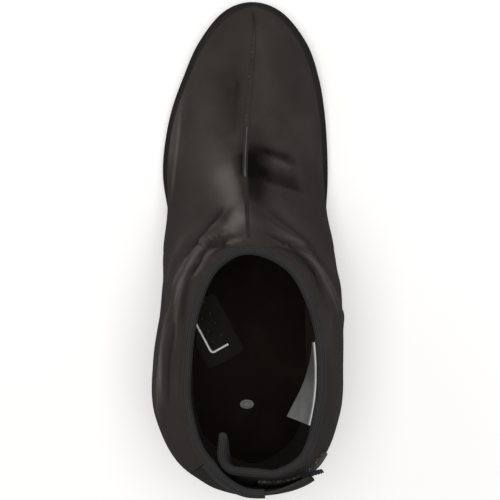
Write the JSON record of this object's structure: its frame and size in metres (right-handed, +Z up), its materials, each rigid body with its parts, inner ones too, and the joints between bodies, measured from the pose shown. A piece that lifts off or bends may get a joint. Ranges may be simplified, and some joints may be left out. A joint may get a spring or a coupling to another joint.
{
  "type": "cycling overshoe",
  "caption": "Left cycling overshoe: black waterproof bootee with an instep seam, bound collar, hook-and-loop heel flap and turned-up rubber sole.",
  "frame": {"origin": "under the middle of the whole part, on the plane that the sole's lugs stand on", "axes": "+Z up, +Y towards the toe, +X towards the wearer's right"},
  "size_m": [0.116, 0.3068, 0.1725],
  "materials": {
    "membrane": "coated weave with a soft sheen",
    "rubber_sole": "matt moulded rubber",
    "binding": "ribbed elastic knit",
    "hook_tape": "moulded hooks",
    "loop_tape": "napped loops",
    "tab": "smooth rubber",
    "label": "woven satin",
    "plug": "matt"
  },
  "bodies": {
    "root": {"upper": "membrane", "sole": "rubber_sole", "collar_binding": "binding", "closure_flap": "membrane", "hook_tape": "hook_tape", "loop_tape": "loop_tape", "pull_tab": "tab", "instep_seam": "membrane", "heel_seam": "membrane", "care_label": "label", "sole_patch": "rubber_sole", "heel_plug": "plug"}
  },
  "joints": []
}
